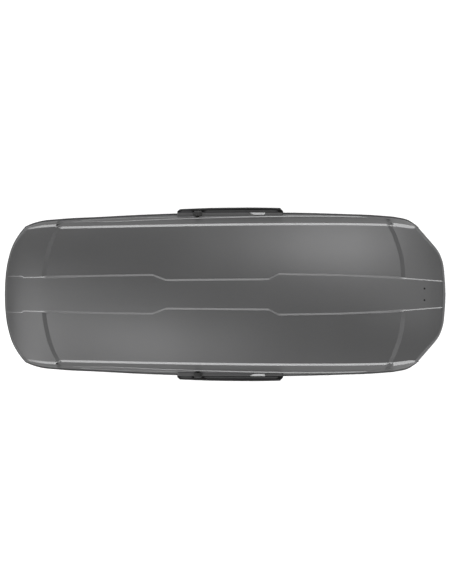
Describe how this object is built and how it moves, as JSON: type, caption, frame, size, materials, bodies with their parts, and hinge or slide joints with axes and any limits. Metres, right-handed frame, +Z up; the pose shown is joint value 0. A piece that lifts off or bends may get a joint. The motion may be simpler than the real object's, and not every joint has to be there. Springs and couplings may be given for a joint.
{
  "type": "roof cargo box",
  "caption": "Long glossy grey roof box with a black base; the lid lifts from either side on lock rails and struts, and sliding jaw clamps grip the crossbars.",
  "frame": {"origin": "centre of the footprint in the plane of the clamp jaws' tips, on the centre line of the box", "axes": "+X to the rear of the box, +Y to its right, +Z up; the nose is at -X"},
  "size_m": [2.3199, 0.912, 0.47],
  "materials": {
    "lid_skin": "metallic grey gloss over textured sheet",
    "base_skin": "fine grain",
    "zinc_steel": "zinc plated",
    "galvanised": "mill finish",
    "bright_rod": "polished",
    "black_tube": "powder coat",
    "grip_plastic": "fine grain",
    "link_plastic": "glass-filled",
    "clamp_plastic": "glass-filled",
    "knob_grey": "soft touch",
    "webbing": "woven",
    "key_metal": "turned",
    "jaw_steel": "e-coat"
  },
  "bodies": {
    "base": {"base_shell": "base_skin", "mount_rail_left": "galvanised", "mount_rail_right": "galvanised", "hinge_brackets": "zinc_steel", "hinge_pins": "zinc_steel", "lifter_feet": "zinc_steel", "lifter_foot_pins": "zinc_steel", "rim_screws": "zinc_steel", "mount_screws": "zinc_steel", "load_strap_front": "webbing", "load_strap_rear": "webbing", "cam_buckle_front": "link_plastic", "cam_buckle_rear": "link_plastic", "strap_anchors": "link_plastic"},
    "links_left": {"hinge_links_left": "link_plastic"},
    "links_right": {"hinge_links_right": "link_plastic"},
    "lid": {"lid_shell": "lid_skin", "latch_rail_left": "galvanised", "latch_rail_right": "galvanised", "rail_hangers_left": "zinc_steel", "rail_hangers_right": "zinc_steel", "bar_guides_left": "link_plastic", "bar_guides_right": "link_plastic", "grip_left": "grip_plastic", "grip_right": "grip_plastic", "tail_rivets": "black_tube", "lifter_heads": "zinc_steel", "lifter_head_pins": "zinc_steel"},
    "lock_bar_left": {"lock_bar_left": "zinc_steel"},
    "lock_knob_left": {"lock_knob_left": "knob_grey"},
    "key_left": {"key_cylinder_left": "key_metal"},
    "lock_bar_right": {"lock_bar_right": "zinc_steel"},
    "lock_knob_right": {"lock_knob_right": "knob_grey"},
    "key_right": {"key_cylinder_right": "key_metal"},
    "lifter_front_left_tube": {"lifter_front_left_tube": "black_tube"},
    "lifter_front_left_rod": {"lifter_front_left_rod": "bright_rod"},
    "lifter_front_right_tube": {"lifter_front_right_tube": "black_tube"},
    "lifter_front_right_rod": {"lifter_front_right_rod": "bright_rod"},
    "lifter_rear_left_tube": {"lifter_rear_left_tube": "black_tube"},
    "lifter_rear_left_rod": {"lifter_rear_left_rod": "bright_rod"},
    "lifter_rear_right_tube": {"lifter_rear_right_tube": "black_tube"},
    "lifter_rear_right_rod": {"lifter_rear_right_rod": "bright_rod"},
    "clamp_front_left_body": {"clamp_front_left_body": "clamp_plastic"},
    "clamp_front_left_knob": {"clamp_front_left_knob": "knob_grey"},
    "clamp_front_left_jaw_front": {"clamp_front_left_jaw_front": "jaw_steel"},
    "clamp_front_left_jaw_rear": {"clamp_front_left_jaw_rear": "jaw_steel"},
    "clamp_front_right_body": {"clamp_front_right_body": "clamp_plastic"},
    "clamp_front_right_knob": {"clamp_front_right_knob": "knob_grey"},
    "clamp_front_right_jaw_front": {"clamp_front_right_jaw_front": "jaw_steel"},
    "clamp_front_right_jaw_rear": {"clamp_front_right_jaw_rear": "jaw_steel"},
    "clamp_rear_left_body": {"clamp_rear_left_body": "clamp_plastic"},
    "clamp_rear_left_knob": {"clamp_rear_left_knob": "knob_grey"},
    "clamp_rear_left_jaw_front": {"clamp_rear_left_jaw_front": "jaw_steel"},
    "clamp_rear_left_jaw_rear": {"clamp_rear_left_jaw_rear": "jaw_steel"},
    "clamp_rear_right_body": {"clamp_rear_right_body": "clamp_plastic"},
    "clamp_rear_right_knob": {"clamp_rear_right_knob": "knob_grey"},
    "clamp_rear_right_jaw_front": {"clamp_rear_right_jaw_front": "jaw_steel"},
    "clamp_rear_right_jaw_rear": {"clamp_rear_right_jaw_rear": "jaw_steel"}
  },
  "joints": [
    {"name": "left_hinge", "type": "hinge", "parent": "base", "child": "links_left", "pos_m": [0, -0.354, 0.172], "axis": [1, 0, 0], "range_deg": [0, 45]},
    {"name": "right_hinge", "type": "hinge", "parent": "links_left", "child": "lid", "pos_m": [0, 0.354, 0.172], "axis": [1, 0, 0], "range_deg": [-45, 0]},
    {"name": "right_links", "type": "hinge", "parent": "base", "child": "links_right", "pos_m": [0, 0.354, 0.172], "axis": [1, 0, 0], "range_deg": [-45, 0]},
    {"name": "lock_knob_left_turn", "type": "hinge", "parent": "lid", "child": "lock_knob_left", "pos_m": [-0.143, -0.43, 0.25], "axis": [0, -1, 0], "range_deg": [0, 90]},
    {"name": "lock_bar_left_slide", "type": "slide", "parent": "lid", "child": "lock_bar_left", "axis": [-1, 0, 0], "range_m": [0, 0.0141]},
    {"name": "key_left_turn", "type": "hinge", "parent": "lock_knob_left", "child": "key_left", "pos_m": [-0.143, -0.428, 0.25], "axis": [0, -1, 0], "range_deg": [0, 90]},
    {"name": "lock_knob_right_turn", "type": "hinge", "parent": "lid", "child": "lock_knob_right", "pos_m": [-0.143, 0.43, 0.25], "axis": [0, -1, 0], "range_deg": [0, 90]},
    {"name": "lock_bar_right_slide", "type": "slide", "parent": "lid", "child": "lock_bar_right", "axis": [-1, 0, 0], "range_m": [0, 0.0141]},
    {"name": "key_right_turn", "type": "hinge", "parent": "lock_knob_right", "child": "key_right", "pos_m": [-0.143, 0.428, 0.25], "axis": [0, -1, 0], "range_deg": [0, 90]},
    {"name": "lifter_front_left_swing", "type": "hinge", "parent": "base", "child": "lifter_front_left_tube", "pos_m": [-0.625, -0.354, 0.172], "axis": [1, 0, 0], "range_deg": [0, 45]},
    {"name": "lifter_front_left_reach", "type": "slide", "parent": "lifter_front_left_tube", "child": "lifter_front_left_rod", "axis": [0, 0.9977, 0.0674], "range_m": [0, 0.0384]},
    {"name": "lifter_front_right_swing", "type": "hinge", "parent": "base", "child": "lifter_front_right_tube", "pos_m": [-0.655, 0.354, 0.172], "axis": [1, 0, 0], "range_deg": [-45, 0]},
    {"name": "lifter_front_right_reach", "type": "slide", "parent": "lifter_front_right_tube", "child": "lifter_front_right_rod", "axis": [0, -0.9977, 0.0674], "range_m": [0, 0.0384]},
    {"name": "lifter_rear_left_swing", "type": "hinge", "parent": "base", "child": "lifter_rear_left_tube", "pos_m": [0.775, -0.354, 0.172], "axis": [1, 0, 0], "range_deg": [0, 45]},
    {"name": "lifter_rear_left_reach", "type": "slide", "parent": "lifter_rear_left_tube", "child": "lifter_rear_left_rod", "axis": [0, 0.9977, 0.0674], "range_m": [0, 0.0384]},
    {"name": "lifter_rear_right_swing", "type": "hinge", "parent": "base", "child": "lifter_rear_right_tube", "pos_m": [0.745, 0.354, 0.172], "axis": [1, 0, 0], "range_deg": [-45, 0]},
    {"name": "lifter_rear_right_reach", "type": "slide", "parent": "lifter_rear_right_tube", "child": "lifter_rear_right_rod", "axis": [0, -0.9977, 0.0674], "range_m": [0, 0.0384]},
    {"name": "clamp_front_left_slide", "type": "slide", "parent": "base", "child": "clamp_front_left_body", "axis": [1, 0, 0], "range_m": [-0.09, 0.09]},
    {"name": "clamp_front_left_screw", "type": "hinge", "parent": "clamp_front_left_body", "child": "clamp_front_left_knob", "pos_m": [-0.35, -0.27, 0.1], "axis": [0, 0, 1], "range_deg": [0, 720]},
    {"name": "clamp_front_left_front_pivot", "type": "hinge", "parent": "clamp_front_left_body", "child": "clamp_front_left_jaw_front", "pos_m": [-0.4, -0.27, 0.062], "axis": [0, 1, 0], "range_deg": [0, 25]},
    {"name": "clamp_front_left_rear_pivot", "type": "hinge", "parent": "clamp_front_left_body", "child": "clamp_front_left_jaw_rear", "pos_m": [-0.3, -0.27, 0.062], "axis": [0, 1, 0], "range_deg": [-25, 0]},
    {"name": "clamp_front_right_slide", "type": "slide", "parent": "base", "child": "clamp_front_right_body", "axis": [1, 0, 0], "range_m": [-0.09, 0.09]},
    {"name": "clamp_front_right_screw", "type": "hinge", "parent": "clamp_front_right_body", "child": "clamp_front_right_knob", "pos_m": [-0.35, 0.27, 0.1], "axis": [0, 0, 1], "range_deg": [0, 720]},
    {"name": "clamp_front_right_front_pivot", "type": "hinge", "parent": "clamp_front_right_body", "child": "clamp_front_right_jaw_front", "pos_m": [-0.4, 0.27, 0.062], "axis": [0, 1, 0], "range_deg": [0, 25]},
    {"name": "clamp_front_right_rear_pivot", "type": "hinge", "parent": "clamp_front_right_body", "child": "clamp_front_right_jaw_rear", "pos_m": [-0.3, 0.27, 0.062], "axis": [0, 1, 0], "range_deg": [-25, 0]},
    {"name": "clamp_rear_left_slide", "type": "slide", "parent": "base", "child": "clamp_rear_left_body", "axis": [1, 0, 0], "range_m": [-0.09, 0.09]},
    {"name": "clamp_rear_left_screw", "type": "hinge", "parent": "clamp_rear_left_body", "child": "clamp_rear_left_knob", "pos_m": [0.35, -0.27, 0.1], "axis": [0, 0, 1], "range_deg": [0, 720]},
    {"name": "clamp_rear_left_front_pivot", "type": "hinge", "parent": "clamp_rear_left_body", "child": "clamp_rear_left_jaw_front", "pos_m": [0.3, -0.27, 0.062], "axis": [0, 1, 0], "range_deg": [0, 25]},
    {"name": "clamp_rear_left_rear_pivot", "type": "hinge", "parent": "clamp_rear_left_body", "child": "clamp_rear_left_jaw_rear", "pos_m": [0.4, -0.27, 0.062], "axis": [0, 1, 0], "range_deg": [-25, 0]},
    {"name": "clamp_rear_right_slide", "type": "slide", "parent": "base", "child": "clamp_rear_right_body", "axis": [1, 0, 0], "range_m": [-0.09, 0.09]},
    {"name": "clamp_rear_right_screw", "type": "hinge", "parent": "clamp_rear_right_body", "child": "clamp_rear_right_knob", "pos_m": [0.35, 0.27, 0.1], "axis": [0, 0, 1], "range_deg": [0, 720]},
    {"name": "clamp_rear_right_front_pivot", "type": "hinge", "parent": "clamp_rear_right_body", "child": "clamp_rear_right_jaw_front", "pos_m": [0.3, 0.27, 0.062], "axis": [0, 1, 0], "range_deg": [0, 25]},
    {"name": "clamp_rear_right_rear_pivot", "type": "hinge", "parent": "clamp_rear_right_body", "child": "clamp_rear_right_jaw_rear", "pos_m": [0.4, 0.27, 0.062], "axis": [0, 1, 0], "range_deg": [-25, 0]}
  ],
  "couplings": [
    {"joint": "right_links", "follows": "right_hinge", "ratio": 1},
    {"joint": "lock_knob_left_turn", "follows": "lock_bar_left_slide", "rad_per_m": 111.1},
    {"joint": "lock_knob_right_turn", "follows": "lock_bar_right_slide", "rad_per_m": 111.1},
    {"joint": "lifter_front_left_swing", "follows": "left_hinge", "ratio": 1},
    {"joint": "lifter_front_left_reach", "follows": "right_hinge", "m_per_rad": -0.048725},
    {"joint": "lifter_front_right_swing", "follows": "right_hinge", "ratio": 1},
    {"joint": "lifter_front_right_reach", "follows": "left_hinge", "m_per_rad": 0.048725},
    {"joint": "lifter_rear_left_swing", "follows": "left_hinge", "ratio": 1},
    {"joint": "lifter_rear_left_reach", "follows": "right_hinge", "m_per_rad": -0.048725},
    {"joint": "lifter_rear_right_swing", "follows": "right_hinge", "ratio": 1},
    {"joint": "lifter_rear_right_reach", "follows": "left_hinge", "m_per_rad": 0.048725},
    {"joint": "clamp_front_left_front_pivot", "follows": "clamp_front_left_screw", "ratio": 0.0347},
    {"joint": "clamp_front_left_rear_pivot", "follows": "clamp_front_left_screw", "ratio": -0.0347},
    {"joint": "clamp_front_right_front_pivot", "follows": "clamp_front_right_screw", "ratio": 0.0347},
    {"joint": "clamp_front_right_rear_pivot", "follows": "clamp_front_right_screw", "ratio": -0.0347},
    {"joint": "clamp_rear_left_front_pivot", "follows": "clamp_rear_left_screw", "ratio": 0.0347},
    {"joint": "clamp_rear_left_rear_pivot", "follows": "clamp_rear_left_screw", "ratio": -0.0347},
    {"joint": "clamp_rear_right_front_pivot", "follows": "clamp_rear_right_screw", "ratio": 0.0347},
    {"joint": "clamp_rear_right_rear_pivot", "follows": "clamp_rear_right_screw", "ratio": -0.0347}
  ]
}
